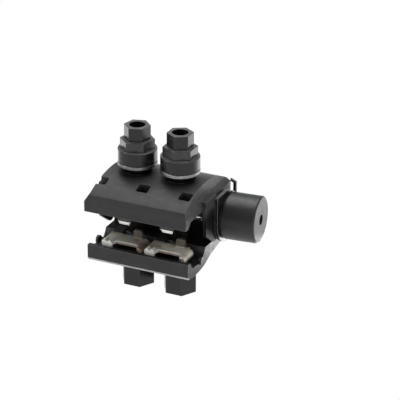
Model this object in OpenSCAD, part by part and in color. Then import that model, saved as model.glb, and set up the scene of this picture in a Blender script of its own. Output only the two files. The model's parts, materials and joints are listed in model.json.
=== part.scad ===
// Two-bolt insulation piercing connector for joining a tap cable to a main cable.
// Millimetres. The origin is midway between the bolts, on the plane of the bolt covers' undersides.
// +X runs along the cables towards the end cap, +Y from the main side to the tap side, +Z up.

/* [Bolts] */
// Distance between the two bolt axes
bolt_pitch = 26; // [25.4:0.2:28]
// Thread diameter of the bolts
bolt_d = 8; // [7.5:0.25:8.25]
// Width across flats of the bolt heads and of the nuts moulded into the shear nuts
head_af = 13; // [12.5:0.25:13.5]
// Height of the bolt heads
head_h = 5.3; // [4.5:0.1:7]
// How far a bolt stands above its washer with the jaws open
bolt_reach = 12; // [10:0.5:14]
// Width across flats of the plastic covers on the bolt heads
cover_af = 17; // [16.5:0.25:19]
// Height of the bolt head covers
cover_h = 13.5; // [11:0.5:16]

/* [Shear nuts] */
// Width across flats of the hex that shears off
drive_af = 13; // [12:0.25:14]
// Height of the hex that shears off
drive_h = 8.15; // [6:0.05:10]
// Width across flats of the hex that stays for removal
stay_af = 17; // [16:0.25:18]
// Height of the hex that stays
stay_h = 5.4; // [4:0.2:7]
// Diameter of the round skirt
skirt_d = 22; // [21:0.5:24]
// Height of the round skirt
skirt_h = 7.45; // [7.25:0.05:9]
// Diameter of the hole through the nut
nut_hole_d = 9; // [8.8:0.1:9.6]
// Thickness of the steel nut moulded into the skirt
insert_h = 6.5; // [5:0.25:6.75]
// Turn of the left nut's corners from the X axis, in degrees
left_nut_turn = 16.5; // [0:0.5:60]
// Turn of the right nut's corners from the X axis, in degrees
right_nut_turn = 29; // [0:0.5:60]

/* [Washers and bolt seals] */
// Outside diameter of the washers
washer_d = 22.2; // [20:0.2:24]
// Thickness of the washers
washer_h = 2.4; // [1.5:0.1:3]
// Diameter of the rubber collar under a washer
collar_d = 16; // [14.5:0.5:18]
// Thickness of the rubber collar
collar_h = 3; // [2:0.1:4]
// Length of the rubber sleeve below the collar
sleeve_h = 5.2; // [4:0.2:8]
// Wall of the rubber sleeve
sleeve_wall = 1.7; // [1.2:0.1:2]

/* [Jaws] */
// Length of both jaws along the cables
jaw_length = 61.4; // [60:0.2:66]
// Reach of the upper jaw in front of the bolts
upper_front = 30.4; // [29.8:0.2:32]
// Reach of the upper jaw behind the bolts
upper_back = 28.5; // [28:0.1:30]
// Reach of the lower jaw on both sides of the bolts
lower_reach = 27.4; // [27.2:0.1:28.2]
// Height of the lower jaw's deck above the bolt covers
deck_rise = 18; // [16.5:0.5:20]
// Thickness of the deck
deck_t = 4.5; // [3.6:0.1:5.5]
// Height of the washer seats on the upper jaw above the bolt covers' undersides, with the jaws open
seat_height = 68.7; // [68:0.1:71]
// Depth of the upper jaw's lips below the roof of the cable ways
lip_drop = 3; // [2.6:0.1:3.4]
// Thickness of the upper jaw's lips
lip_wall = 3; // [2.4:0.1:3.4]
// Height of the upright band along the upper jaw's lips
band_h = 6.1; // [5:0.1:7]
// Height from the roof of the cable ways to the crest of the upper jaw
crest_h = 13.3; // [12:0.1:15]
// Radius of the arched top
arch_r = 54; // [50:0.5:62]
// Diameter of the bosses under the lower jaw and of the washer seats
boss_d = 16.5; // [16.5:0.5:19]
// Length of the tubes that guide the upper jaw along the bolts
tube_h = 9.5; // [6:0.5:10.5]

/* [Cable ways] */
// Radius of the main trough
main_r = 11; // [10.7:0.1:11.2]
// Distance of the main trough's axis in front of the bolts
main_offset = 15.2; // [15:0.1:15.5]
// Depth of the main trough below the deck
main_depth = 6.9; // [6.4:0.1:7.2]
// Thickness of the rubber lining in the main trough
lining_t = 1.6; // [1.2:0.1:2]
// Height of the rear lip above the deck
rear_lip_h = 5; // [4:0.25:6]
// Thickness of the rear lip
rear_lip_t = 2.7; // [2.2:0.1:2.9]

/* [Contacts] */
// Thickness of the contact sheet
sheet_t = 2; // [1.7:0.1:2.1]
// Width of a lower contact along the cable
contact_w = 24.6; // [23.6:0.2:25]
// Width of the broad prong with the piercing ridges
prong_w = 6.5; // [5.5:0.1:7]
// Height of the piercing ridges on the broad prong
ridge_h = 1.2; // [0.8:0.1:1.6]
// Height of the upright tab above the sheet
tab_h = 4.8; // [4:0.1:6]
// Height of the toothed lip on the tap side above the sheet
tap_lip_h = 3.4; // [2.4:0.1:4]
// Width of an upper tooth plate along the cable
tooth_w = 8.2; // [6:0.2:9]
// Length of an upper tooth plate below the contact's bridge
tooth_h = 10.4; // [9.5:0.1:10.6]
// Thickness of the rubber pads round the upper contacts
pad_t = 2.4; // [2.1:0.1:3]

/* [End cap] */
// Outside diameter of the rubber cap
cap_d = 26.8; // [26:0.1:27.4]
// Length of the cap beyond its carrier
cap_length = 18.9; // [16:0.1:26]
// Wall of the cap
cap_wall = 2.4; // [1.8:0.1:2.6]
// Thickness of the cap's end
cap_end = 1.8; // [1.4:0.1:3]
// Diameter of the hole in the cap's end
cap_hole_d = 6; // [4:0.2:7]
// How far the cap leans back from the X axis, in degrees
cap_yaw = 5; // [0:0.5:6]
// Thickness of the cap carrier's plate
carrier_t = 1.8; // [1.4:0.1:2.4]
// Width of the carrier's plate
carrier_w = 30.6; // [29.6:0.1:31]

/* [Clearances] */
// Radial clearance of the nut's thread on the bolt
thread_gap = 0.05; // [0.02:0.01:0.1]
// Radial clearance of every plain hole round a bolt
bolt_gap = 0.3; // [0.2:0.05:0.4]
// Clearance of pieces that are pushed or moulded into one another
seat_gap = 0.1; // [0.05:0.01:0.15]
// Clearance between the upper jaw's tongues and the lower jaw's ends
slide_gap = 0.3; // [0.3:0.05:0.6]

/* [Hidden] */
$fn = 64;
eps = 0.01;

// Heights: the lower jaw is built up from the bolt covers, the upper jaw hangs down from the washer seats
far = 4 * jaw_length;
deck_z = cover_h + deck_rise;
seat_z = seat_height;
crest_z = seat_z - 0.4;
roof_z = crest_z - crest_h;
lip_z = roof_z - lip_drop;
band_z = lip_z + band_h;
washer_z = seat_z + collar_h;
washer_top_z = washer_z + washer_h;
nut_z = washer_top_z + 0.05;
stay_z = nut_z + skirt_h;
drive_z = stay_z + stay_h;
nut_top_z = drive_z + drive_h;
bolt_top_z = washer_top_z + bolt_reach;

// Round holes
bolt_r = bolt_d / 2;
clear_r = bolt_r + bolt_gap;
sleeve_r = clear_r + sleeve_wall;
tube_r = clear_r + 1.3;

// The upper jaw's sloped shoulders, leaning ends and square pockets
shoulder_run = 2.5;
shoulder_rise = 3;
arch_y = -1;
end_lean = 1.8;
end_lean_rise = 3.6;
crest_lean = 2.7;
pocket_x = 7.2;
pocket_y = 6.3;
pocket_depth = 4;
pocket_offset = 17;
pocket_shift = -1.2;
pocket_pitch = jaw_length / 2 - 5.3;

// The tongues that hang from the upper jaw's ends, outside the lower jaw
jaw_end = jaw_length / 2;
tongue_in = jaw_end + slide_gap;
tongue_out = tongue_in + 1.8;
tongue_front = -9;
tongue_rear = 5;
tongue_top = roof_z + 5.4;
tongue_root = jaw_end - 2.4;
tongue_tip_z = deck_z + 1.1;

// The lower jaw's section
main_floor_z = deck_z - main_depth;
main_axis_z = main_floor_z + main_r;
front_lip_z = deck_z - 1;
under_r = 55;
under_y = -main_offset - 1.6;
under_z = main_floor_z - 4.3 + under_r;
front_bevel_z = main_floor_z - 2;
web_y = under_y + 10.6;
web_z = under_z - sqrt(under_r * under_r - 10.6 * 10.6);
deck_bottom_z = deck_z - deck_t;
seat_depth = 1.5;
contact_z = deck_z - seat_depth;
sheet_z = contact_z + sheet_t;
tap_seat_front = 9.5;
tap_seat_back = lower_reach - rear_lip_t - 0.3;

// The lower contacts, measured from their bolts
contact_left = -11.4;
contact_right = contact_left + contact_w;
wing_back = -9.5;
wing_front = -main_offset - 3.6;
prong_front = -main_offset - 7.5;
narrow_prong_w = 3;
bend_r = 2.5;
bend_x = contact_right - bend_r;
bend_leg_z = contact_z - sheet_t;
foot_t = 1.8;
foot_z = deck_z - 3.6;
strap_right = -tube_r - 0.2;
tap_plate_front = 11;
tap_plate_back = tap_seat_back - 1.2;
tap_plate_right = 8;
tap_lip_half = 2.9;
tap_lip_t = sheet_t - 0.2;

// The upper contacts and pads
bridge_half = 6.5;
bridge_reach = 21;
bridge_z = roof_z - sheet_t;
tooth_y = 18.1;
tooth_t = 2.2;
tooth_x = 0.8;
tooth_z = bridge_z - tooth_h;
pad_half = jaw_end - 3.7;
pad_front = 8.2;

// The wall that parts the cable ways: a rib on the deck, and one on the rubber pad that passes behind it
rib_t = 1.6;
rib_front = tube_r - 0.2;
pad_rib_z = deck_z + tube_h + 1.5;

// The end cap and its carrier
carrier_in = tongue_out;
carrier_out = carrier_in + carrier_t;
cap_y = 17.5;
cap_z = (deck_z + roof_z) / 2 - 0.75;
carrier_top = roof_z + 3.5;
carrier_back = upper_back + 0.1;
hood_t = 1.4;
hood_front = carrier_back - hood_t;
neck_r = cap_d / 2 - 1.3;
neck_gap = 1.3;
bead_r = cap_d / 2 - 0.2;
bead_flat_y = 6.9;
cap_bore_r = cap_d / 2 - cap_wall;

// Colours as they look in daylight
jaw_colour = [0.17, 0.17, 0.18];
nut_colour = [0.20, 0.20, 0.21];
rubber_colour = [0.08, 0.08, 0.09];
zinc_colour = [0.75, 0.75, 0.74];
tin_colour = [0.52, 0.50, 0.45];

// Points of an outline whose corners are [across, up, radius], each turned into a short arc
arc_steps = 6;
function unit(v) = v / norm(v);
function corner_arc(before, at, after) =
    let (
        corner = [at[0], at[1]],
        to_before = unit([before[0], before[1]] - corner),
        to_after = unit([after[0], after[1]] - corner),
        half = acos(to_before * to_after) / 2,
        centre = corner + unit(to_before + to_after) * at[2] / sin(half),
        start = corner + to_before * at[2] / tan(half) - centre,
        finish = corner + to_after * at[2] / tan(half) - centre,
        first = atan2(start[1], start[0]),
        swing = atan2(finish[1], finish[0]) - first,
        sweep = swing > 180 ? swing - 360 : swing < -180 ? swing + 360 : swing
    )
    [for (i = [0:arc_steps])
        let (angle = first + sweep * i / arc_steps)
        centre + at[2] * [cos(angle), sin(angle)]];
function rounded(corners) =
    let (count = len(corners))
    [for (i = [0:count - 1])
        let (at = corners[i])
        each at[2] > 0
            ? corner_arc(corners[(i + count - 1) % count], at, corners[(i + 1) % count])
            : [[at[0], at[1]]]];

// A section drawn across Y and up Z, carried along X
module slab_x(from, to) {
    translate([from, 0, 0]) rotate([90, 0, 90]) linear_extrude(to - from) children();
}

// A section drawn along X and up Z, carried along Y
module slab_y(from, to) {
    translate([0, to, 0]) rotate([90, 0, 0]) linear_extrude(to - from) children();
}

module rod_x(radius, from, to, y, z) {
    translate([from, y, z]) rotate([0, 90, 0]) cylinder(r = radius, h = to - from);
}

module hex(af, height) {
    cylinder(d = af / cos(30), h = height, $fn = 6);
}

module at_bolts() {
    for (side = [-1, 1]) translate([side * bolt_pitch / 2, 0, 0]) children();
}

// Upper jaw: an arched moulding with hanging tongues at its ends and square pockets on top
module upper_section() {
    slope_top = crest_z + 1;
    slope_run = (slope_top - band_z) * shoulder_run / shoulder_rise;
    intersection() {
        polygon([
            [-upper_front, lip_z], [-upper_front, band_z], [-upper_front + slope_run, slope_top],
            [upper_back - slope_run, slope_top], [upper_back, band_z], [upper_back, lip_z],
            [upper_back - lip_wall, lip_z], [upper_back - lip_wall - lip_drop - 0.5, roof_z],
            [-upper_front + lip_wall + lip_drop + 0.4, roof_z], [-upper_front + lip_wall, lip_z]
        ]);
        translate([arch_y, crest_z - arch_r]) circle(r = arch_r, $fn = 180);
    }
}

module leaning_end() {
    slab_y(-2 * upper_front, 2 * upper_front) polygon([
        [jaw_end, band_z],
        [jaw_end - end_lean, band_z + end_lean_rise],
        [jaw_end - crest_lean, crest_z + 2],
        [jaw_end + 5, crest_z + 2],
        [jaw_end + 5, band_z]
    ]);
}

module tongue() {
    slab_x(tongue_in, tongue_out) polygon(rounded([
        [tongue_front, tongue_top, 0.6],
        [tongue_front, deck_z + 8.5, 1.5],
        [1.2, tongue_tip_z, 1.8],
        [tongue_rear, tongue_tip_z, 1.8],
        [tongue_rear, tongue_top, 0.6]
    ]));
    slab_x(tongue_root, tongue_in + eps) polygon(rounded([
        [tongue_front, tongue_top, 0.6],
        [tongue_front, roof_z, 0],
        [tongue_rear, roof_z, 0],
        [tongue_rear, tongue_top, 0.6]
    ]));
}

module pocket() {
    drop = arch_r - sqrt(arch_r * arch_r - pow(pocket_offset + arch_y, 2));
    half_x = pocket_x / 2;
    half_y = pocket_y / 2;
    translate([pocket_shift, -pocket_offset, crest_z - drop - pocket_depth])
        linear_extrude(2 * pocket_depth) polygon(rounded([
            [-half_x, -half_y, 1], [half_x, -half_y, 1], [half_x, half_y, 1], [-half_x, half_y, 1]
        ]));
}

module upper_jaw() {
    color(jaw_colour)
    difference() {
        union() {
            difference() {
                slab_x(-jaw_end, jaw_end) upper_section();
                leaning_end();
                mirror([1, 0, 0]) leaning_end();
                for (i = [-1:1]) translate([i * pocket_pitch, 0, 0]) pocket();
            }
            tongue();
            mirror([1, 0, 0]) tongue();
            at_bolts() translate([0, 0, roof_z + 1]) cylinder(d = boss_d, h = seat_z - roof_z - 1);
        }
        at_bolts() {
            translate([0, 0, roof_z - 1]) cylinder(r = clear_r, h = seat_z - roof_z + 2);
            translate([0, 0, seat_z - sleeve_h]) cylinder(r = sleeve_r + seat_gap, h = sleeve_h + 1);
        }
    }
}

// Lower jaw: a deep main trough in front, a flat deck with guide tubes, and the tap side behind
module lower_section() {
    lip_r = rear_lip_t / 2;
    rear_lip_z = deck_z + rear_lip_h;
    difference() {
        union() {
            intersection() {
                translate([under_y, under_z]) circle(r = under_r, $fn = 120);
                translate([-lower_reach, main_floor_z - 6])
                    square([web_y + lower_reach + eps, front_lip_z - main_floor_z + 6]);
            }
            polygon([
                [web_y, web_z], [2.5, deck_bottom_z - 2.6], [12, deck_bottom_z - 0.9],
                [20, deck_bottom_z], [20, deck_z - eps],
                [web_y + 0.2, deck_z - eps], [web_y, front_lip_z - 2]
            ]);
            polygon(rounded([
                [4.2 - eps, deck_bottom_z, 0],
                [lower_reach, deck_bottom_z, 1.4],
                [lower_reach, rear_lip_z - lip_r, 0],
                [lower_reach - rear_lip_t, rear_lip_z - lip_r, 0],
                [lower_reach - rear_lip_t, deck_z, 0],
                [4.2 - eps, deck_z, 0]
            ]));
            translate([lower_reach - lip_r, rear_lip_z - lip_r]) circle(r = lip_r);
        }
        polygon([
            [-lower_reach - 1, front_bevel_z], [-lower_reach, front_bevel_z],
            [-lower_reach + 0.9, front_bevel_z - 1.45], [-lower_reach + 0.9, front_bevel_z - 5],
            [-lower_reach - 1, front_bevel_z - 5]
        ]);
    }
}

module lower_jaw() {
    slot_left = contact_left - seat_gap;
    slot_right = strap_right + seat_gap;
    color(jaw_colour)
    difference() {
        union() {
            difference() {
                union() {
                    slab_x(-jaw_end, jaw_end) lower_section();
                    at_bolts() translate([0, 0, cover_h]) cylinder(d = boss_d, h = deck_rise - 1);
                }
                rod_x(main_r, -jaw_end - 1, jaw_end + 1, -main_offset, main_axis_z);
            }
            at_bolts() translate([0, 0, deck_z - 1]) cylinder(r = tube_r, h = tube_h + 1);
            translate([-jaw_end, rib_front, deck_z - 1]) cube([jaw_length, rib_t, tube_h + 1]);
        }
        translate([-jaw_end - 1, tap_seat_front, contact_z])
            cube([jaw_length + 2, tap_seat_back - tap_seat_front, seat_depth + 1]);
        at_bolts() {
            translate([0, 0, cover_h - 1]) cylinder(r = clear_r, h = deck_rise + tube_h + 2);
            translate([slot_left, -main_offset, contact_z])
                cube([slot_right - slot_left, main_offset + tap_seat_front + 1, seat_depth + 1]);
        }
    }
}

// Shear nut: a round skirt, a hex that stays and a smaller hex that shears off
module shear_nut(turn) {
    color(nut_colour)
    difference() {
        union() {
            translate([0, 0, nut_z]) rotate_extrude() polygon(rounded([
                [0, 0, 0],
                [skirt_d / 2, 0, 0.4],
                [skirt_d / 2, skirt_h, 0.4],
                [0, skirt_h, 0]
            ]));
            rotate([0, 0, turn]) {
                translate([0, 0, stay_z - eps]) hex(stay_af, stay_h + eps);
                translate([0, 0, drive_z - eps]) hex(drive_af, drive_h + eps);
            }
        }
        translate([0, 0, nut_z - 1]) cylinder(d = nut_hole_d, h = nut_top_z - nut_z + 2);
        rotate([0, 0, turn]) translate([0, 0, nut_z - eps])
            hex(head_af + 2 * seat_gap, insert_h + 0.25 + eps);
    }
}

module nut_insert(turn) {
    color(zinc_colour)
    translate([0, 0, nut_z + 0.25])
    difference() {
        rotate([0, 0, turn]) hex(head_af, insert_h);
        translate([0, 0, -1]) cylinder(r = bolt_r + thread_gap, h = insert_h + 2);
    }
}

module washer() {
    edge = 0.4;
    color(zinc_colour)
    translate([0, 0, washer_z]) rotate_extrude() polygon([
        [clear_r, 0], [washer_d / 2 - edge, 0], [washer_d / 2, edge],
        [washer_d / 2, washer_h - edge], [washer_d / 2 - edge, washer_h], [clear_r, washer_h]
    ]);
}

module bolt_seal() {
    edge = 0.6;
    color(rubber_colour)
    rotate_extrude() polygon([
        [clear_r, seat_z - sleeve_h], [sleeve_r, seat_z - sleeve_h], [sleeve_r, seat_z],
        [collar_d / 2 - edge, seat_z], [collar_d / 2, seat_z + edge],
        [collar_d / 2, washer_z - edge], [collar_d / 2 - edge, washer_z], [clear_r, washer_z]
    ]);
}

module bolt() {
    point = 1;
    shank_h = bolt_top_z - cover_h;
    color(zinc_colour) {
        translate([0, 0, cover_h - head_h]) hex(head_af, head_h);
        translate([0, 0, cover_h - eps]) rotate_extrude() polygon([
            [0, 0], [bolt_r, 0], [bolt_r, shank_h - point], [bolt_r - point, shank_h], [0, shank_h]
        ]);
    }
}

module bolt_cover() {
    floor_t = 2.5;
    color(nut_colour)
    difference() {
        hex(cover_af, cover_h);
        translate([0, 0, cover_h - head_h - 0.2]) hex(head_af + 2 * seat_gap, head_h + 1);
        translate([0, 0, floor_t]) cylinder(d = head_af - 2, h = cover_h);
    }
}

// Lower contact: one stamped sheet that pierces the main cable in front and the tap cable behind
module contact_plan() {
    notch_left = contact_left + prong_w;
    notch_right = contact_right - narrow_prong_w;
    polygon(rounded([
        [contact_left, prong_front, 0.6],
        [notch_left, prong_front, 0.6],
        [notch_left, wing_front, 1.2],
        [notch_right, wing_front, 3.2],
        [notch_right, prong_front, 0],
        [bend_x, prong_front, 0],
        [bend_x, wing_back, 0.6],
        [strap_right, wing_back, 1.2],
        [strap_right, tap_plate_front, 0.8],
        [tap_plate_right, tap_plate_front, 1],
        [tap_plate_right, tap_plate_back, 1],
        [contact_left, tap_plate_back, 1]
    ]));
}

module prong_foot(left, width) {
    translate([left, prong_front, foot_z]) cube([width, foot_t, sheet_z - foot_z - 0.5]);
}

module piercing_ridge(left, width) {
    slab_y(prong_front + 0.3, wing_front) polygon([
        [left, sheet_z - eps], [left + width / 2, sheet_z + ridge_h], [left + width, sheet_z - eps]
    ]);
}

module upright_tab() {
    tab_left = 2.8;
    tab_right = tab_left + 5.1;
    tab_top = sheet_z + tab_h;
    slab_y(wing_back - sheet_t, wing_back) polygon(rounded([
        [tab_left, sheet_z - 1, 0], [tab_left, tab_top, 1.5],
        [tab_right, tab_top, 1.5], [tab_right, sheet_z - 1, 0]
    ]));
}

// The narrow prong's outer edge, bent down over the trough
module bent_edge() {
    slab_y(prong_front, wing_back - 1.5) polygon(rounded([
        [bend_x - eps, contact_z, 0],
        [bend_x - eps, sheet_z, 0],
        [contact_right, sheet_z, bend_r],
        [contact_right, bend_leg_z, 0.3],
        [contact_right - sheet_t, bend_leg_z, 0.3],
        [contact_right - sheet_t, contact_z, 0.4]
    ]));
}

module toothed_lip() {
    half = tap_lip_half;
    tip = sheet_z + tap_lip_h;
    dip = tip - 0.5;
    slab_y(tap_plate_back - tap_lip_t, tap_plate_back) polygon([
        [-half, sheet_z - 1], [-half, tip], [-half + 0.8, tip], [-half + 1.2, dip],
        [half - 1.2, dip], [half - 0.8, tip], [half, tip], [half, sheet_z - 1]
    ]);
}

module lower_contact() {
    ridge_w = (prong_w - 0.9) / 2;
    color(tin_colour) {
        translate([0, 0, contact_z]) linear_extrude(sheet_t) contact_plan();
        prong_foot(contact_left + 0.6, prong_w - 1.2);
        bent_edge();
        piercing_ridge(contact_left + 0.3, ridge_w);
        piercing_ridge(contact_left + 0.6 + ridge_w, ridge_w);
        upright_tab();
        toothed_lip();
    }
}

// Upper contact: a bridge under the roof with a toothed plate bent down over each cable
module tooth_plate(y) {
    bevel = 1.2;
    half = tooth_w / 2;
    chisel_z = tooth_z + bevel;
    slab_y(y - tooth_t / 2, y + tooth_t / 2) polygon([
        [-half, bridge_z + eps], [-half, chisel_z + bevel], [-half + bevel, chisel_z],
        [half - bevel, chisel_z], [half, chisel_z + bevel], [half, bridge_z + eps]
    ]);
    slab_x(-half + bevel, half - bevel) polygon([
        [y - tooth_t / 2, chisel_z + eps], [y - 0.4, tooth_z],
        [y + 0.4, tooth_z], [y + tooth_t / 2, chisel_z + eps]
    ]);
}

module upper_contact() {
    color(tin_colour)
    difference() {
        union() {
            translate([-bridge_half, -bridge_reach, bridge_z])
                cube([2 * bridge_half, 2 * bridge_reach, sheet_t]);
            translate([tooth_x, 0, 0]) tooth_plate(-tooth_y);
            translate([tooth_x, 0, 0]) tooth_plate(tooth_y);
        }
        translate([0, 0, bridge_z - 1]) cylinder(r = clear_r, h = sheet_t + 2);
    }
}

// Rubber lining of the main trough, mat over the tap plates, and pads under the roof
module lower_main_seal() {
    inner_r = main_r - lining_t;
    top_z = main_floor_z + lining_t + 0.7;
    half = jaw_end + 0.9;
    lug_in = jaw_end + seat_gap / 2;
    lug_out = half + 0.8;
    lug_r = lining_t + 0.8;
    lug_y = 3 - main_offset;
    lug_z = main_floor_z + 2.3;
    color(rubber_colour) {
        slab_x(-half, half) intersection() {
            difference() {
                translate([-main_offset, main_axis_z]) circle(r = main_r, $fn = 96);
                translate([-main_offset, main_axis_z]) circle(r = inner_r, $fn = 96);
            }
            translate([-main_offset - main_r, main_floor_z - 1])
                square([2 * main_r, top_z - main_floor_z + 1]);
        }
        rod_x(lug_r, lug_in, lug_out, lug_y, lug_z);
        rod_x(lug_r, -lug_out, -lug_in, lug_y, lug_z);
    }
}

module lower_tap_seal() {
    mat_t = sheet_t + 1.2;
    pocket_t = sheet_t + 1.5 * seat_gap + 1;
    mat_front = tap_seat_front + seat_gap;
    mat_back = tap_seat_back - seat_gap;
    room = 2 * seat_gap;
    color(rubber_colour)
    translate([0, 0, contact_z])
    difference() {
        translate([-jaw_end + 0.3, mat_front, 0]) cube([jaw_length - 0.6, mat_back - mat_front, mat_t]);
        at_bolts() {
            translate([contact_left - room, mat_front - 1, -1])
                cube([strap_right - contact_left + 2 * room, 4, pocket_t]);
            translate([contact_left - room, tap_plate_front - room, -1])
                cube([tap_plate_right - contact_left + 2 * room,
                    tap_plate_back - tap_plate_front + 2 * room, pocket_t]);
            translate([-tap_lip_half - room, tap_plate_back - tap_lip_t - room, -1])
                cube([2 * (tap_lip_half + room), tap_lip_t + 2 * room, mat_t + 2]);
        }
    }
}

module roof_pad() {
    pad_back = 21.6;
    room = 2 * seat_gap;
    color(rubber_colour)
    translate([0, 0, roof_z - pad_t])
    difference() {
        translate([-pad_half, pad_front, 0]) cube([2 * pad_half, pad_back - pad_front, pad_t]);
        at_bolts() translate([-bridge_half - room, pad_front - 1, -1])
            cube([2 * (bridge_half + room), bridge_reach + room - pad_front + 1, pad_t + 2]);
    }
}

module upper_tap_seal() {
    roof_pad();
    color(rubber_colour)
    translate([-pad_half, pad_front, pad_rib_z])
        cube([2 * pad_half, rib_t, roof_z - pad_t + 0.2 - pad_rib_z]);
}

module upper_main_seal() {
    mirror([0, 1, 0]) roof_pad();
}

// The cap leans back from the middle of the carrier's plate
module leaning() {
    translate([carrier_out, cap_y, cap_z]) rotate([0, 0, cap_yaw]) rotate([0, 90, 0]) children();
}

module beyond(x) {
    translate([x, -far / 2, -far / 2]) cube(far);
}

module cap_carrier() {
    half = carrier_w / 2;
    color(nut_colour)
    difference() {
        union() {
            slab_x(carrier_in, carrier_out) {
                translate([cap_y - half, cap_z]) square([half, carrier_top - cap_z]);
                translate([hood_front, cap_z + 7]) square([hood_t, carrier_top - cap_z - 7]);
                intersection() {
                    translate([cap_y, cap_z]) circle(r = half, $fn = 96);
                    translate([cap_y - half, cap_z - half]) square([half, 2 * half]);
                }
                translate([cap_y, cap_z]) circle(r = cap_d / 2 + 0.5, $fn = 96);
            }
            slab_y(hood_front, carrier_back) polygon([
                [tongue_in, carrier_top + 0.2], [tongue_in, carrier_top + 0.2 + hood_t],
                [carrier_out, carrier_top], [carrier_out, carrier_top - hood_t]
            ]);
            translate([tongue_in + 0.4, tongue_rear + 0.15, cap_z - 2.5])
                cube([carrier_in - tongue_in - 0.4 + eps, 1.45, carrier_top - cap_z + 2]);
        }
        rod_x(neck_r + seat_gap, tongue_in - 1, carrier_out + 1, cap_y, cap_z);
    }
}

module end_cap() {
    outer_r = cap_d / 2;
    bead_in = tongue_in + 0.2;
    bead_out = carrier_in - 0.05;
    color(rubber_colour)
    difference() {
        union() {
            difference() {
                rod_x(bead_r, bead_in, bead_out, cap_y, cap_z);
                translate([0, bead_flat_y - far, 0]) cube(far);
            }
            rod_x(neck_r, bead_in, carrier_out + neck_gap + 1, cap_y, cap_z);
            intersection() {
                leaning() rotate_extrude() polygon(rounded([
                    [0, -3, 0], [outer_r, -3, 0], [outer_r, cap_length, 1.2], [0, cap_length, 0]
                ]));
                beyond(carrier_out + neck_gap);
            }
        }
        rod_x(cap_bore_r, bead_in - 1, carrier_out, cap_y, cap_z);
        leaning() translate([0, 0, -2]) cylinder(r = cap_bore_r, h = cap_length - cap_end + 2);
        leaning() cylinder(d = cap_hole_d, h = cap_length + 5);
    }
}

module left() {
    translate([-bolt_pitch / 2, 0, 0]) children();
}

module right() {
    translate([bolt_pitch / 2, 0, 0]) children();
}

upper_jaw();
lower_jaw();
left() shear_nut(left_nut_turn);  // shear_nut_left
right() shear_nut(right_nut_turn);  // shear_nut_right
left() nut_insert(left_nut_turn);  // nut_insert_left
right() nut_insert(right_nut_turn);  // nut_insert_right
left() washer();  // washer_left
right() washer();  // washer_right
left() bolt_seal();  // bolt_seal_left
right() bolt_seal();  // bolt_seal_right
left() bolt();  // bolt_left
right() bolt();  // bolt_right
left() bolt_cover();  // bolt_cover_left
right() bolt_cover();  // bolt_cover_right
left() lower_contact();  // lower_contact_left
right() lower_contact();  // lower_contact_right
left() upper_contact();  // upper_contact_left
right() upper_contact();  // upper_contact_right
lower_main_seal();
lower_tap_seal();
upper_main_seal();
upper_tap_seal();
cap_carrier();
end_cap();
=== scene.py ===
import json
import math
import bpy
import numpy as np
from mathutils import Matrix, Vector


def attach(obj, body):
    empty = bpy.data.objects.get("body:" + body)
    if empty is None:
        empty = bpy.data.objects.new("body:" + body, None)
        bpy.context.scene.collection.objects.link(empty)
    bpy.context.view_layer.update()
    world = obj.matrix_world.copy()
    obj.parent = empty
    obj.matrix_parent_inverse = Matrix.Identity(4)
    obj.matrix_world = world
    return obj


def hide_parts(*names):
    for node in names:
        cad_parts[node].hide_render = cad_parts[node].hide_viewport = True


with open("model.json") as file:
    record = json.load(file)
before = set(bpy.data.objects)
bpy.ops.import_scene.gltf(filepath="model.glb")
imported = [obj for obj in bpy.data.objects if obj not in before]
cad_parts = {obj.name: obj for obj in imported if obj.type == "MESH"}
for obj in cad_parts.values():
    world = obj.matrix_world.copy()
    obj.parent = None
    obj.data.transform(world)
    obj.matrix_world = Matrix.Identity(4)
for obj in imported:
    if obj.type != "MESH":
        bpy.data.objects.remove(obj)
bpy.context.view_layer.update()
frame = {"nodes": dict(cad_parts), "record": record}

nodes = frame["nodes"]
scene = bpy.context.scene
scene.view_settings.view_transform = "Standard"
MM = 0.001
BOLT_X = 13.0 * MM

# Camera

AZIMUTH = math.radians(24.57)
ELEVATION = math.radians(24.68)
ROLL = math.radians(0.32)
DISTANCE = 1095.37 * MM
TARGET = Vector((24.97, 0.0, 57.01)) * MM
FOCAL_LENGTH = 180.0
SENSOR_WIDTH = 36.0
NEAREST = 0.05
FARTHEST = 20.0


def place_camera():
    """Looks at the target from its azimuth and elevation, then rolls about the line of sight."""
    back = Vector((
        math.sin(AZIMUTH) * math.cos(ELEVATION),
        -math.cos(AZIMUTH) * math.cos(ELEVATION),
        math.sin(ELEVATION),
    ))
    level = Vector((math.cos(AZIMUTH), math.sin(AZIMUTH), 0.0))
    upright = back.cross(level)
    right = level * math.cos(ROLL) + upright * math.sin(ROLL)
    up = upright * math.cos(ROLL) - level * math.sin(ROLL)
    data = bpy.data.cameras.new("camera")
    data.lens = FOCAL_LENGTH
    data.sensor_width = SENSOR_WIDTH
    data.clip_start = NEAREST
    data.clip_end = FARTHEST
    camera = bpy.data.objects.new("camera", data)
    turn = Matrix((right, up, back)).transposed().to_4x4()
    camera.matrix_world = Matrix.Translation(TARGET + back * DISTANCE) @ turn
    scene.collection.objects.link(camera)
    scene.camera = camera


place_camera()

# Material helpers

NOISE_RANGE = (0.3, 0.7)
EDGE_FLAT = 0.985
EDGE_SHARP = 0.90
SOFT_BORDER = 0.3


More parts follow.
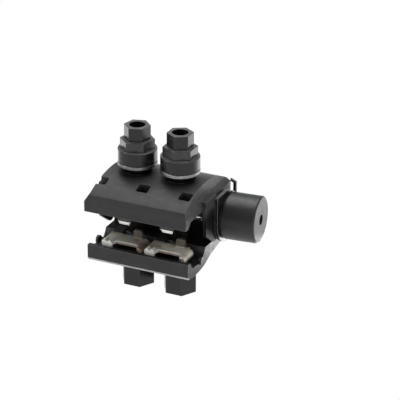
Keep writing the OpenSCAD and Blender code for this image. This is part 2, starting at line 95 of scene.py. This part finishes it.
class Shader:
    """Short calls that build the nodes of one material. Noise and places are read in Object
    coordinates, which at rest are the frame's own. Places along an axis are in millimetres: a fade has
    the place where it is full and the one where it ends, and a range has its two ends and, where
    they are not the usual ones, the width of its soft borders."""

    def __init__(self, material):
        self.material = material
        self.tree = material.node_tree
        self.surface = self.tree.nodes["Principled BSDF"]
        self.coords = self.tree.nodes.new("ShaderNodeTexCoord").outputs["Object"]

    @classmethod
    def named(cls, name):
        """The calls for a new material."""
        material = bpy.data.materials.new(name)
        material.use_nodes = True
        return cls(material)

    def node(self, kind, **values):
        made = self.tree.nodes.new(kind)
        for key, value in values.items():
            setattr(made, key, value)
        return made

    def link(self, source, target):
        self.tree.links.new(source, target)

    def set(self, socket, value):
        self.surface.inputs[socket].default_value = value

    def feed(self, source, socket):
        self.link(source, self.surface.inputs[socket])

    def stretched(self, scale):
        """Object coordinates stretched by a factor along each axis."""
        made = self.node("ShaderNodeMapping")
        made.inputs["Scale"].default_value = scale
        self.link(self.coords, made.inputs["Vector"])
        return made.outputs["Vector"]

    def noise(self, scale, detail=3.0, rough=0.55, vector=None):
        made = self.node("ShaderNodeTexNoise")
        made.inputs["Scale"].default_value = scale
        made.inputs["Detail"].default_value = detail
        made.inputs["Roughness"].default_value = rough
        self.link(vector or self.coords, made.inputs["Vector"])
        return made.outputs["Fac"]

    def ramp(self, source, stops):
        """A colour ramp given as (place, colour) pairs."""
        made = self.node("ShaderNodeValToRGB")
        band = made.color_ramp
        while len(band.elements) < len(stops):
            band.elements.new(0.5)
        for element, (place, colour) in zip(band.elements, stops):
            element.position = place
            element.color = (*colour, 1.0)
        self.link(source, made.inputs["Fac"])
        return made.outputs["Color"]

    def tones(self, source, first, second, places=NOISE_RANGE):
        """Runs from one colour to a second between two places of a value."""
        return self.ramp(source, list(zip(places, (first, second))))

    def mix(self, share, first, second):
        """The first colour where the share is 0, the second where it is 1."""
        made = self.node("ShaderNodeMix", data_type="RGBA")
        self.link(share, made.inputs[0])
        self.link(first, made.inputs[6])
        self.link(second, made.inputs[7])
        return made.outputs[2]

    def remap(self, source, from_low, from_high, to_low=0.0, to_high=1.0):
        """Maps one range onto another and holds the value beyond its ends."""
        made = self.node("ShaderNodeMapRange")
        made.inputs["From Min"].default_value = from_low
        made.inputs["From Max"].default_value = from_high
        made.inputs["To Min"].default_value = to_low
        made.inputs["To Max"].default_value = to_high
        self.link(source, made.inputs["Value"])
        return made.outputs["Result"]

    def spread(self, noise, low, high):
        """Maps the usual range of noise onto low to high."""
        return self.remap(noise, *NOISE_RANGE, low, high)

    def rescaled(self, share, low, high):
        """Maps 0 to 1 onto low to high."""
        return self.remap(share, 0.0, 1.0, low, high)

    def math(self, operation, first, second=None):
        """A maths node. The second value is a socket, a plain number, or missing where one is enough."""
        made = self.node("ShaderNodeMath", operation=operation)
        self.link(first, made.inputs[0])
        if isinstance(second, float):
            made.inputs[1].default_value = second
        elif second is not None:
            self.link(second, made.inputs[1])
        return made.outputs[0]

    def product(self, first, *others):
        """A socket times other sockets or plain numbers."""
        for other in others:
            first = self.math("MULTIPLY", first, other)
        return first

    def most(self, first, *others):
        """The greatest of several sockets."""
        for other in others:
            first = self.math("MAXIMUM", first, other)
        return first

    def axis(self, letter):
        """One of the Object coordinates."""
        made = self.node("ShaderNodeSeparateXYZ")
        self.link(self.coords, made.inputs[0])
        return made.outputs[letter]

    def fade(self, letter, full, none):
        """1 at the place called full and beyond it, fading to 0 at the one called none."""
        return self.remap(self.axis(letter), full * MM, none * MM, 1.0, 0.0)

    def between(self, letter, low, high, soft=SOFT_BORDER):
        """1 between two places along an axis and 0 elsewhere, with soft borders."""
        return self.product(self.fade(letter, low, low - soft), self.fade(letter, high, high + soft))

    def near_bolts(self, full, none):
        """1 up to the distance called full from the nearer bolt's axis, fading to 0 at the one
        called none."""
        aside = self.math("SUBTRACT", self.math("ABSOLUTE", self.axis("X")), BOLT_X)
        level = self.node("ShaderNodeCombineXYZ")
        self.link(aside, level.inputs["X"])
        self.link(self.axis("Y"), level.inputs["Y"])
        length = self.node("ShaderNodeVectorMath", operation="LENGTH")
        self.link(level.outputs[0], length.inputs[0])
        return self.remap(length.outputs["Value"], full * MM, none * MM, 1.0, 0.0)

    def facing(self, letter, none, full):
        """0 where the normal's share along an axis is the one called none, rising to 1 at the one
        called full."""
        parts = self.node("ShaderNodeSeparateXYZ")
        self.link(self.node("ShaderNodeTexCoord").outputs["Normal"], parts.inputs[0])
        return self.remap(parts.outputs[letter], none, full)

    def edge_mask(self, width):
        """0 on flats, rising to 1 on edges, from how far the surface turns within a width."""
        rounded = self.node("ShaderNodeBevel", samples=8)
        rounded.inputs["Radius"].default_value = width * MM
        turned = self.node("ShaderNodeVectorMath", operation="DOT_PRODUCT")
        self.link(rounded.outputs["Normal"], turned.inputs[0])
        self.link(self.node("ShaderNodeNewGeometry").outputs["Normal"], turned.inputs[1])
        return self.remap(turned.outputs["Value"], EDGE_FLAT, EDGE_SHARP)

    def bump(self, layers):
        """Stacks bump layers given as (height, strength, distance in millimetres) and feeds the normal."""
        normal = None
        for height, strength, distance in layers:
            made = self.node("ShaderNodeBump")
            made.inputs["Strength"].default_value = strength
            made.inputs["Distance"].default_value = distance * MM
            self.link(height, made.inputs["Height"])
            if normal is not None:
                self.link(normal, made.inputs["Normal"])
            normal = made.outputs["Normal"]
        self.feed(normal, "Normal")


def grey(value, warm=0.0):
    return (value * (1 + warm), value, value * (1 - warm))


# Black plastics

JAW_MOULD = {
    "dark": 0.011,
    "light": 0.020,
    "rough": (0.40, 0.54),
    "grain": 0.30,
    "gloss": 0.43,
    "edge_width": 0.6,
    "edge_tone": 0.12,
}
LIP_FRONT_Y = (-26.35, -26.15)
LIP_UNDER_Z = (22.45, 22.7)
RIGHT_END_FACING = (0.25, 0.6)
RIGHT_END_Z = (55.0, 52.0)
TUBES_X = (-30.6, 29.5)
TUBES_Z = (31.7, 46.0)
RIGHT_TONGUE_X = (31.2, 30.9)
RIGHT_TONGUE_Z = (30.0, 49.0, 6.0)
BETWEEN_JAWS_Y = (-9.2, 8.0)
SEAT_RADIUS = (8.5, 9.2)
SEAT_Z = (65.0, 64.0)
# Gloss of the painted shade on the jaws.
SHADE_GLOSS = 0.10

NUT_MOULD = {
    "dark": 0.006,
    "light": 0.011,
    "rough": (0.18, 0.29),
    "grain": 0.35,
    "gloss": 0.40,
    "edge_width": 0.8,
    "edge_tone": 0.22,
}
STAY_HEX_Z = (81.7, 86.9)
UPWARD_FACING = (0.70, 0.95)

DUST_RANGE = (0.66, 0.80)
DUST_SHARE = 0.25


def moulded_plastic(name, dark, light, rough, grain, gloss, edge_width, edge_tone):
    """Starts a black moulded plastic with a spark-eroded grain, faint scratches and an uneven gloss.
    Gives back its shader and the colour of its skin: cloudy flow marks, dust, and paler edges that are
    partly wear and partly a painted highlight."""
    made = Shader.named(name)
    cloud = made.noise(70.0, detail=4.0)
    flow = made.tones(cloud, grey(dark), grey(light, -0.03))
    dust = made.tones(made.noise(1500.0, rough=0.7), grey(0.0), grey(1.0), DUST_RANGE)
    dusty = made.tones(cloud, grey(0.05), grey(0.08), (0.0, 1.0))
    speckled = made.mix(made.product(dust, DUST_SHARE), flow, dusty)
    # Paler edges: partly wear, partly a painted highlight along the edges.
    lit_tone = made.tones(made.noise(420.0, detail=4.0), grey(0.5 * edge_tone), grey(edge_tone))
    skin = made.mix(made.edge_mask(edge_width), speckled, lit_tone)
    made.feed(made.spread(made.noise(260.0, detail=5.0, rough=0.65), *rough), "Roughness")
    made.set("Specular IOR Level", gloss)
    scratches = made.noise(240.0, rough=0.7, vector=made.stretched((1.0, 9.0, 9.0)))
    made.bump([
        (made.noise(2600.0, detail=2.0), grain, 0.05),
        (made.noise(160.0), 0.12, 0.2),
        (scratches, 0.10, 0.08),
    ])
    return made, skin


def jaw_plastic(name):
    """The jaws' plastic, with a pale painted reflection of the floor under the lower jaw's front lip,
    painted light on the upper jaw's right end, and painted shade between the jaws and round the bolt seats."""
    made, skin = moulded_plastic(name, **JAW_MOULD)
    # Painted reflection: the faces under the lower jaw's front lip are painted pale, where they mirror the
    # floor.
    under_lip = made.product(made.fade("Y", *LIP_FRONT_Y), made.fade("Z", *LIP_UNDER_Z))
    # Painted light: faces of the upper jaw's right end that point right are painted lighter.
    right_end = made.product(made.facing("X", *RIGHT_END_FACING), made.fade("Z", *RIGHT_END_Z))
    # Painted shade: the cable ways between the jaws, the faces by the right tongue and the jaw round the
    # bolt seats are painted near black, with their gloss lowered.
    tubes = made.product(made.between("X", *TUBES_X), made.between("Z", *TUBES_Z))
    tongue = made.product(made.fade("X", *RIGHT_TONGUE_X), made.between("Z", *RIGHT_TONGUE_Z))
    between_jaws = made.product(made.most(tubes, tongue), made.between("Y", *BETWEEN_JAWS_Y))
    seats = made.product(made.near_bolts(*SEAT_RADIUS), made.fade("Z", *SEAT_Z))
    shade_share = made.most(between_jaws, seats)
    fine = made.noise(300.0)
    pale = made.tones(fine, grey(0.30, -0.02), grey(0.48, -0.02))
    shade_tone = made.tones(fine, grey(0.003), grey(0.006))
    lit_face_tone = made.tones(made.noise(350.0, detail=4.0), grey(0.030), grey(0.050))
    outside = made.mix(under_lip, made.mix(right_end, skin, lit_face_tone), pale)
    made.feed(made.mix(shade_share, outside, shade_tone), "Base Color")
    made.feed(made.rescaled(shade_share, JAW_MOULD["gloss"], SHADE_GLOSS), "Specular IOR Level")
    return made.material


def nut_plastic(name):
    """The plastic of the nuts, the bolt covers and the cap's carrier: paler on the hex that
    stays, with painted light on faces that point up."""
    made, skin = moulded_plastic(name, **NUT_MOULD)
    fine = made.noise(350.0, detail=4.0)
    stay_hex_tone = made.tones(fine, grey(0.026), grey(0.042))
    # Painted light: faces that point up are painted lighter.
    lit_face_tone = made.tones(fine, grey(0.06), grey(0.13))
    sides = made.mix(made.between("Z", *STAY_HEX_Z), skin, stay_hex_tone)
    made.feed(made.mix(made.facing("Z", *UPWARD_FACING), sides, lit_face_tone), "Base Color")
    return made.material


# Rubber and zinc

BLOOM_RANGE = (0.3, 0.72)
UNDER_WASHERS_Z = (68.0, 72.0)
RUBBER_GLOSS = 0.46
# Gloss of the painted shade on the seals under the washers.
SHADED_RUBBER_GLOSS = 0.05
DULLED_X = (-1.0, 1.0)


def black_rubber(name):
    """Satin rubber with bloom in soft clouds and fine pits, and painted shade on the seals under the
    washers.
    """
    made = Shader.named(name)
    bloom = made.noise(120.0, detail=5.0, rough=0.6)
    skin = made.tones(bloom, grey(0.009), grey(0.018, -0.04), BLOOM_RANGE)
    shade_tone = made.tones(bloom, grey(0.002), grey(0.004), BLOOM_RANGE)
    # Painted shade: the seals under the washers are painted near black, with their gloss lowered.
    shade_share = made.between("Z", *UNDER_WASHERS_Z)
    made.feed(made.mix(shade_share, skin, shade_tone), "Base Color")
    made.feed(made.spread(made.noise(400.0, detail=4.0), 0.34, 0.48), "Roughness")
    made.feed(made.rescaled(shade_share, RUBBER_GLOSS, SHADED_RUBBER_GLOSS), "Specular IOR Level")
    made.bump([(made.noise(3200.0, detail=2.0), 0.25, 0.04)])
    return made.material


def zinc_plate(name):
    """Zinc-plated steel with fine turning lines and soft clouds, duller on the left bolt's pieces."""
    made = Shader.named(name)
    made.set("Metallic", 1.0)
    cloud = made.noise(300.0, detail=5.0, rough=0.6)
    clean = made.tones(cloud, grey(0.22, 0.02), grey(0.36, 0.01))
    dulled = made.tones(cloud, grey(0.155, 0.02), grey(0.27, 0.01))
    made.feed(made.mix(made.fade("X", *DULLED_X), clean, dulled), "Base Color")
    lines = made.noise(500.0, detail=2.0, rough=0.5, vector=made.stretched((1.0, 1.0, 14.0)))
    made.feed(made.spread(lines, 0.30, 0.46), "Roughness")
    made.bump([(lines, 0.2, 0.04)])
    return made.material


# Tinned contacts

STAIN_RANGE = (0.32, 0.70)
STAIN_MIDDLE = 0.46
SHEET_Z = (29.4, 32.1)
BEFORE_TAB_Y = (-13.0, -8.0)
# Where the painted light on the contacts' front flats is strongest, across the contacts.
LIT_LEFT_X = (-21.5, -17.0)
LIT_RIGHT_X = (10.0, 3.0)
LEAST_LIT = 0.05
TAB_Z = (32.6, 37.5)
LEFT_PRONG_X = (-25.0, -15.4)
RIGHT_PRONG_X = (1.0, 10.6)
PRONG_FRONT_Y = (-19.2, -18.7)
PRONG_SHARE = 0.8
TOOTH_TIPS_Z = (41.0, 44.4)
# Heights of the painted shade on the upper teeth.
SHADED_TEETH_Z = (44.8, 60.0)
# Places of the painted shade on the straps.
STRAP_Y = (-9.0, 10.0, 0.6)
FOOT_X = (-2.6, 0.6, 2.2)
FOOT_Y = (-16.0, -11.0)
FOOT_SHARE = 0.8
BACK_LIP_Y = (16.0, 15.0)
BACK_LIP_Z = (33.4, 38.0)
CUT_FACING = (-0.3, -0.7)
CUT_Y = (-13.0, -12.0)
CUT_EDGE_Z = (31.3, 32.2)
CUT_EDGE_SHARE = 0.5
CUT_BELOW_Z = (29.0, 31.0)
TIN_METALLIC = 0.55
DULL_METALLIC = 0.10


def tinned_copper(name):
    """Tin over a copper alloy, rolled in lines along the sheet. It is olive grey with brown stains,
    with painted light on the flat in front of the tabs, brown on the tabs, and copper where the
    left contact's foot turns down. The piercing edges are freshly cut tin made near white by a painted
    highlight in front of the prongs, at the upper teeth's tips and on the lip behind; a painted edge
    highlight runs along the sheet's front edge. Painted shade darkens the teeth above their tips and
    the straps behind the tabs."""
    made = Shader.named(name)
    stain = made.noise(110.0, detail=5.0, rough=0.6)
    tarnished = made.ramp(stain, [
        (STAIN_RANGE[0], (0.22, 0.17, 0.12)),
        (STAIN_MIDDLE, (0.36, 0.335, 0.27)),
        (STAIN_RANGE[1], (0.50, 0.48, 0.41)),
    ])
    # Paler tone of the painted light on the front flats.
    lit_tone = made.ramp(stain, [
        (STAIN_RANGE[0], (0.44, 0.37, 0.26)),
        (STAIN_MIDDLE, (0.70, 0.67, 0.54)),
        (STAIN_RANGE[1], (0.80, 0.78, 0.67)),
    ])
    browned = made.tones(stain, (0.12, 0.10, 0.08), (0.22, 0.21, 0.18), STAIN_RANGE)
    bare = made.tones(stain, (0.26, 0.20, 0.15), (0.44, 0.38, 0.31), STAIN_RANGE)
    copper = made.tones(stain, (0.15, 0.080, 0.050), (0.30, 0.20, 0.14), STAIN_RANGE)
    # Near-black tone of the painted shade on the contacts.
    contact_shade_tone = made.tones(stain, (0.020, 0.018, 0.015), (0.050, 0.045, 0.038), STAIN_RANGE)
    bright = made.tones(made.noise(260.0, detail=4.0), (0.93, 0.92, 0.85), (1.0, 1.0, 0.95))

    sheet = made.between("Z", *SHEET_Z)
    # Painted light: the flat in front of the tabs is painted paler and less metallic, most towards the left
    # contact's left end and the right contact's right end.
    before_tab = made.product(sheet, made.fade("Y", *BEFORE_TAB_Y))
    lit_across = made.most(made.fade("X", *LIT_LEFT_X), made.fade("X", *LIT_RIGHT_X))
    lit_front = made.product(before_tab, made.rescaled(lit_across, LEAST_LIT, 1.0))
    tab = made.between("Z", *TAB_Z)
    prongs = made.most(made.between("X", *LEFT_PRONG_X), made.between("X", *RIGHT_PRONG_X))
    # Painted highlight: freshly cut tin made near white and less metallic in front of the prongs, at the
    # upper teeth's tips and on the lip behind.
    prong_fronts = made.product(made.fade("Y", *PRONG_FRONT_Y), prongs, PRONG_SHARE)
    tooth_tips = made.between("Z", *TOOTH_TIPS_Z)
    back_lip = made.product(made.fade("Y", *BACK_LIP_Y), made.between("Z", *BACK_LIP_Z))
    cut = made.product(made.facing("Y", *CUT_FACING), made.fade("Y", *CUT_Y))
    # Painted edge highlight along the sheet's front edge.
    highlit_cut_edge = made.product(cut, made.between("Z", *CUT_EDGE_Z), CUT_EDGE_SHARE)
    cut_below = made.product(cut, made.between("Z", *CUT_BELOW_Z))
    sheared_and_highlit = made.most(prong_fronts, tooth_tips, back_lip, highlit_cut_edge)
    foot = made.product(made.between("X", *FOOT_X), made.fade("Y", *FOOT_Y), FOOT_SHARE)
    strap = made.product(sheet, made.between("Y", *STRAP_Y))
    # Painted shade: the teeth above their tips and the straps behind the tabs are painted near black and
    # less metallic.
    contact_shade = made.most(made.between("Z", *SHADED_TEETH_Z), strap)

    flats = made.mix(lit_front, tarnished, lit_tone)
    plain = made.mix(tab, made.mix(cut_below, flats, bare), browned)
    worn_and_highlit = made.mix(foot, made.mix(sheared_and_highlit, plain, bright), copper)
    made.feed(made.mix(contact_shade, worn_and_highlit, contact_shade_tone), "Base Color")
    dull = made.most(sheared_and_highlit, before_tab, contact_shade)
    made.feed(made.rescaled(dull, TIN_METALLIC, DULL_METALLIC), "Metallic")
    rolled = made.noise(420.0, rough=0.6, vector=made.stretched((6.0, 1.0, 6.0)))
    made.feed(made.spread(rolled, 0.34, 0.52), "Roughness")
    made.bump([(rolled, 0.18, 0.05), (made.noise(900.0), 0.2, 0.06)])
    return made.material


# Materials and rounded edges

FINISHES = {
    "jaw_plastic": jaw_plastic("jaw_plastic"),
    "nut_plastic": nut_plastic("nut_plastic"),
    "black_rubber": black_rubber("black_rubber"),
    "zinc_steel": zinc_plate("zinc_steel"),
    "tinned_contact": tinned_copper("tinned_contact"),
}
EDGE_RADIUS = {
    "jaw_plastic": 0.35 * MM,
    "nut_plastic": 0.45 * MM,
    "black_rubber": 0.30 * MM,
    "zinc_steel": 0.15 * MM,
    "tinned_contact": 0.20 * MM,
}
JOIN_DISTANCE = 0.001 * MM
FLAT_ANGLE = math.radians(0.4)
SHARP_ANGLE = math.radians(16)


def finish_node(name, slot):
    """Gives a CAD node its material and rounds its sharp edges by the slot's edge radius."""
    solid = nodes[name]
    solid.data.materials.clear()
    solid.data.materials.append(FINISHES[slot])
    weld = solid.modifiers.new("join", "WELD")
    weld.merge_threshold = JOIN_DISTANCE
    flats = solid.modifiers.new("flats", "DECIMATE")
    flats.decimate_type = "DISSOLVE"
    flats.angle_limit = FLAT_ANGLE
    bevel = solid.modifiers.new("edges", "BEVEL")
    bevel.width = EDGE_RADIUS[slot]
    bevel.segments = 2
    bevel.limit_method = "ANGLE"
    bevel.angle_limit = SHARP_ANGLE
    bevel.use_clamp_overlap = True
    shading = solid.modifiers.new("shading", "WEIGHTED_NORMAL")
    shading.mode = "FACE_AREA"
    shading.keep_sharp = True


for entry in frame["record"]["subparts"]:
    finish_node(entry["node"], entry["material_slot"])

# Threaded bolts

BOLT_RADIUS = 4.0 * MM
HEAD_FLATS = 13.0 * MM
HEAD_BOTTOM = 8.2 * MM
HEAD_TOP = 13.5 * MM
HEAD_BOTTOM_CHAMFER = 0.6 * MM
HEAD_TOP_CHAMFER = 0.3 * MM
HEAD_MOST = np.array([6.2, 7.4, 7.6, 7.2]) * MM
NECK = 0.05 * MM
THREAD_ROOT = 3.4 * MM
THREAD_PITCH = 1.25 * MM
THREAD_START = 36.0 * MM
THREAD_RUN_IN = 1.5 * THREAD_PITCH
ROOT_SHARE = 0.12
FLANK_SHARE = 0.68
POINT_START = 85.1 * MM
POINT_DEPTH = 0.95 * MM
BOLT_TOP = 86.1 * MM
AROUND = 48
ROWS_PER_TURN = 10


def ring_body(name, heights, radii, centre_x, flat_rows):
    """A closed body of rings: row i has radius radii[i, j] at angle j and height heights[i]; quads join
    neighbouring rows, flat-shaded in the first rows, and a fan to a point on the axis closes each end."""
    rows, around = radii.shape
    angle = np.arange(around) * (2 * math.pi / around)
    x = centre_x + radii * np.cos(angle)
    y = radii * np.sin(angle)
    z = np.repeat(heights[:, None], around, axis=1)
    rings = np.stack([x, y, z], axis=-1).reshape(-1, 3)
    ends = np.array([[centre_x, 0.0, heights[0]], [centre_x, 0.0, heights[-1]]])
    index = np.arange(rows * around).reshape(rows, around)
    ahead = np.roll(index, -1, axis=1)
    quads = np.stack([index[:-1], ahead[:-1], ahead[1:], index[1:]], axis=-1).reshape(-1, 4)
    low = np.full(around, rows * around)
    bottom = np.stack([low, ahead[0], index[0]], axis=-1)
    top = np.stack([low + 1, index[-1], ahead[-1]], axis=-1)
    mesh = bpy.data.meshes.new(name)
    faces = quads.tolist() + bottom.tolist() + top.tolist()
    mesh.from_pydata(np.concatenate([rings, ends]).tolist(), [], faces)
    smooth = np.ones(len(faces), dtype=bool)
    smooth[:flat_rows * around] = False
    smooth[len(quads):] = False
    mesh.polygons.foreach_set("use_smooth", smooth)
    mesh.update()
    body = bpy.data.objects.new(name, mesh)
    scene.collection.objects.link(body)
    return body


def hex_radius(angle, flats):
    """Distance from a hexagon's centre to its edge at an angle: half the width over the flats divided by
    the cosine of the angle from the nearest flat's middle."""
    return flats / 2 / np.cos(np.mod(angle, math.pi / 3) - math.pi / 6)


def thread_radius(angle, height):
    """Radius of a right-hand thread: a triangle wave of height over pitch less angle over a full turn,
    clipped to flat crests and roots, which fades in over its run-in."""
    phase = np.mod(height / THREAD_PITCH - angle / (2 * math.pi), 1.0)
    wave = np.clip((np.abs(2 * phase - 1) - ROOT_SHARE) / FLANK_SHARE, 0.0, 1.0)
    fade = np.clip((height - THREAD_START) / THREAD_RUN_IN, 0.0, 1.0)
    depth = (BOLT_RADIUS - THREAD_ROOT) * fade
    return BOLT_RADIUS - depth * (1 - wave)


def threaded_bolt(name, node, centre_x):
    """A hexagon bolt: chamfered head, plain shank, then a thread up to a bevelled point."""
    angle = np.arange(AROUND) * (2 * math.pi / AROUND)
    head_z = np.array([
        HEAD_BOTTOM,
        HEAD_BOTTOM + HEAD_BOTTOM_CHAMFER,
        HEAD_TOP - HEAD_TOP_CHAMFER,
        HEAD_TOP,
    ])
    head_r = np.minimum(hex_radius(angle, HEAD_FLATS), HEAD_MOST[:, None])
    shank_z = np.array([HEAD_TOP, HEAD_TOP + NECK, THREAD_START])
    shank_r = np.full((len(shank_z), AROUND), BOLT_RADIUS)
    turns = (BOLT_TOP - THREAD_START) / THREAD_PITCH
    thread_z = np.linspace(THREAD_START, BOLT_TOP, int(turns * ROWS_PER_TURN))[1:]
    thread_r = thread_radius(angle, thread_z[:, None])
    point = np.clip((thread_z - POINT_START) / (BOLT_TOP - POINT_START), 0.0, 1.0)
    point_r = BOLT_RADIUS - POINT_DEPTH * point[:, None]
    heights = np.concatenate([head_z, shank_z, thread_z])
    radii = np.concatenate([head_r, shank_r, np.minimum(thread_r, point_r)])
    bolt = ring_body(name, heights, radii, centre_x, len(head_z))
    bolt.data.materials.append(FINISHES["zinc_steel"])
    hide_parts(node)
    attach(bolt, "lower")


threaded_bolt("threaded_bolt_left", "bolt_left", -BOLT_X)
threaded_bolt("threaded_bolt_right", "bolt_right", BOLT_X)

# Studio floor: the two places that the nuts' outer faces mirror are given in millimetres

FLOOR_HALF = 3.0
FLOOR_DROP = 0.2 * MM
FLOOR_COLOUR = (0.85, 0.85, 0.85, 1.0)
FLOOR_ROUGHNESS = 0.9
MIRROR_STRENGTH = 2.05
MIRROR_BEHIND_X = (40.0, 200.0, 30.0)
MIRROR_BEHIND_Y = (155.0, 260.0, 30.0)
MIRROR_LEFT_X = (-100.0, -60.0)
MIRROR_LEFT_Y = (70.0, 30.0)


def white_floor():
    """A wide floor that is white to the camera and in reflections, and pale and diffuse to other light. Two
    places of it are brighter, in reflections only."""
    low = -FLOOR_DROP
    corners = [
        (-FLOOR_HALF, -FLOOR_HALF, low),
        (FLOOR_HALF, -FLOOR_HALF, low),
        (FLOOR_HALF, FLOOR_HALF, low),
        (-FLOOR_HALF, FLOOR_HALF, low),
    ]
    mesh = bpy.data.meshes.new("floor")
    mesh.from_pydata(corners, [], [(0, 1, 2, 3)])
    ground = bpy.data.objects.new("floor", mesh)
    scene.collection.objects.link(ground)
    made = Shader.named("floor_white")
    made.set("Base Color", FLOOR_COLOUR)
    made.set("Roughness", FLOOR_ROUGHNESS)
    rays = made.node("ShaderNodeLightPath")
    to_camera = rays.outputs["Is Camera Ray"]
    reflected = rays.outputs["Is Glossy Ray"]
    behind = made.product(made.between("Y", *MIRROR_BEHIND_Y), made.between("X", *MIRROR_BEHIND_X))
    to_left = made.product(made.fade("Y", *MIRROR_LEFT_Y), made.fade("X", *MIRROR_LEFT_X))
    mirrored = made.product(made.most(behind, to_left), reflected)
    glow = made.node("ShaderNodeEmission")
    made.link(made.rescaled(mirrored, 1.0, MIRROR_STRENGTH), glow.inputs["Strength"])
    blend = made.node("ShaderNodeMixShader")
    made.link(made.most(to_camera, reflected), blend.inputs[0])
    made.link(made.surface.outputs[0], blend.inputs[1])
    made.link(glow.outputs[0], blend.inputs[2])
    made.link(blend.outputs[0], made.tree.nodes["Material Output"].inputs["Surface"])
    mesh.materials.append(made.material)


# Studio surround

SURROUND_FRONT = (0.20, 0.20, 0.215, 1.0)
SURROUND_BACK = (0.42, 0.435, 0.455, 1.0)
SURROUND_SEEN = (1.0, 1.0, 1.0, 1.0)
SURROUND_RANGE = (0.15, 0.85)


def pale_world():
    """A pale surround, bright behind the object and dimmer in front of it, white to the camera."""
    world = bpy.data.worlds.new("surround")
    world.use_nodes = True
    scene.world = world
    tree = world.node_tree
    direction = tree.nodes.new("ShaderNodeTexCoord")
    parts = tree.nodes.new("ShaderNodeSeparateXYZ")
    tree.links.new(direction.outputs["Generated"], parts.inputs[0])
    shift = tree.nodes.new("ShaderNodeMapRange")
    shift.inputs["From Min"].default_value = -1.0
    shift.inputs["From Max"].default_value = 1.0
    tree.links.new(parts.outputs["Y"], shift.inputs["Value"])
    fade = tree.nodes.new("ShaderNodeValToRGB")
    front, back = fade.color_ramp.elements
    front.position, back.position = SURROUND_RANGE
    front.color = SURROUND_FRONT
    back.color = SURROUND_BACK
    tree.links.new(shift.outputs["Result"], fade.inputs["Fac"])
    light = tree.nodes["Background"]
    light.inputs["Strength"].default_value = 1.0
    tree.links.new(fade.outputs["Color"], light.inputs["Color"])
    seen = tree.nodes.new("ShaderNodeBackground")
    seen.inputs["Color"].default_value = SURROUND_SEEN
    seen.inputs["Strength"].default_value = 1.0
    rays = tree.nodes.new("ShaderNodeLightPath")
    blend = tree.nodes.new("ShaderNodeMixShader")
    tree.links.new(rays.outputs["Is Camera Ray"], blend.inputs[0])
    tree.links.new(light.outputs[0], blend.inputs[1])
    tree.links.new(seen.outputs[0], blend.inputs[2])
    tree.links.new(blend.outputs[0], tree.nodes["World Output"].inputs["Surface"])


# Studio lamps: name, side in metres, power in watts, place and aim in metres

LAMPS = [
    ("overhead", 1.0, 12.8, (-0.08, 0.32, 1.1), (0, 0, 0.05)),
    ("right", 0.6, 1.0, (1.1, 0.1, 0.25), (0, 0, 0.04)),
    ("front", 0.5, 0.3, (-0.25, -1.0, 0.60), (0, 0, 0.04)),
    ("front_left", 0.5, 4.1, (-0.8, -0.7, 0.5), (0, 0, 0.04)),
    ("low_front", 0.15, 0.6, (0.38, -0.50, 0.09), (0, -0.019, 0.043)),
    ("cap_bounce", 0.09, 0.022, (0.088, 0.074, 0.003), (0.050, 0.01, 0.036)),
    ("jaw_bounce", 0.033, 0.018, (0.046, 0.044, 0.003), (0.031, 0.0, 0.03)),
]


def panel(name, side, power, place, aim):
    """A square area lamp at a place, turned towards a point and hidden from the camera."""
    data = bpy.data.lights.new(name, "AREA")
    data.size = side
    data.energy = power
    lamp = bpy.data.objects.new(name, data)
    lamp.location = place
    lamp.visible_camera = False
    lamp.rotation_euler = (Vector(aim) - Vector(place)).to_track_quat("-Z", "Y").to_euler()
    scene.collection.objects.link(lamp)


white_floor()
pale_world()
for lamp in LAMPS:
    panel(*lamp)
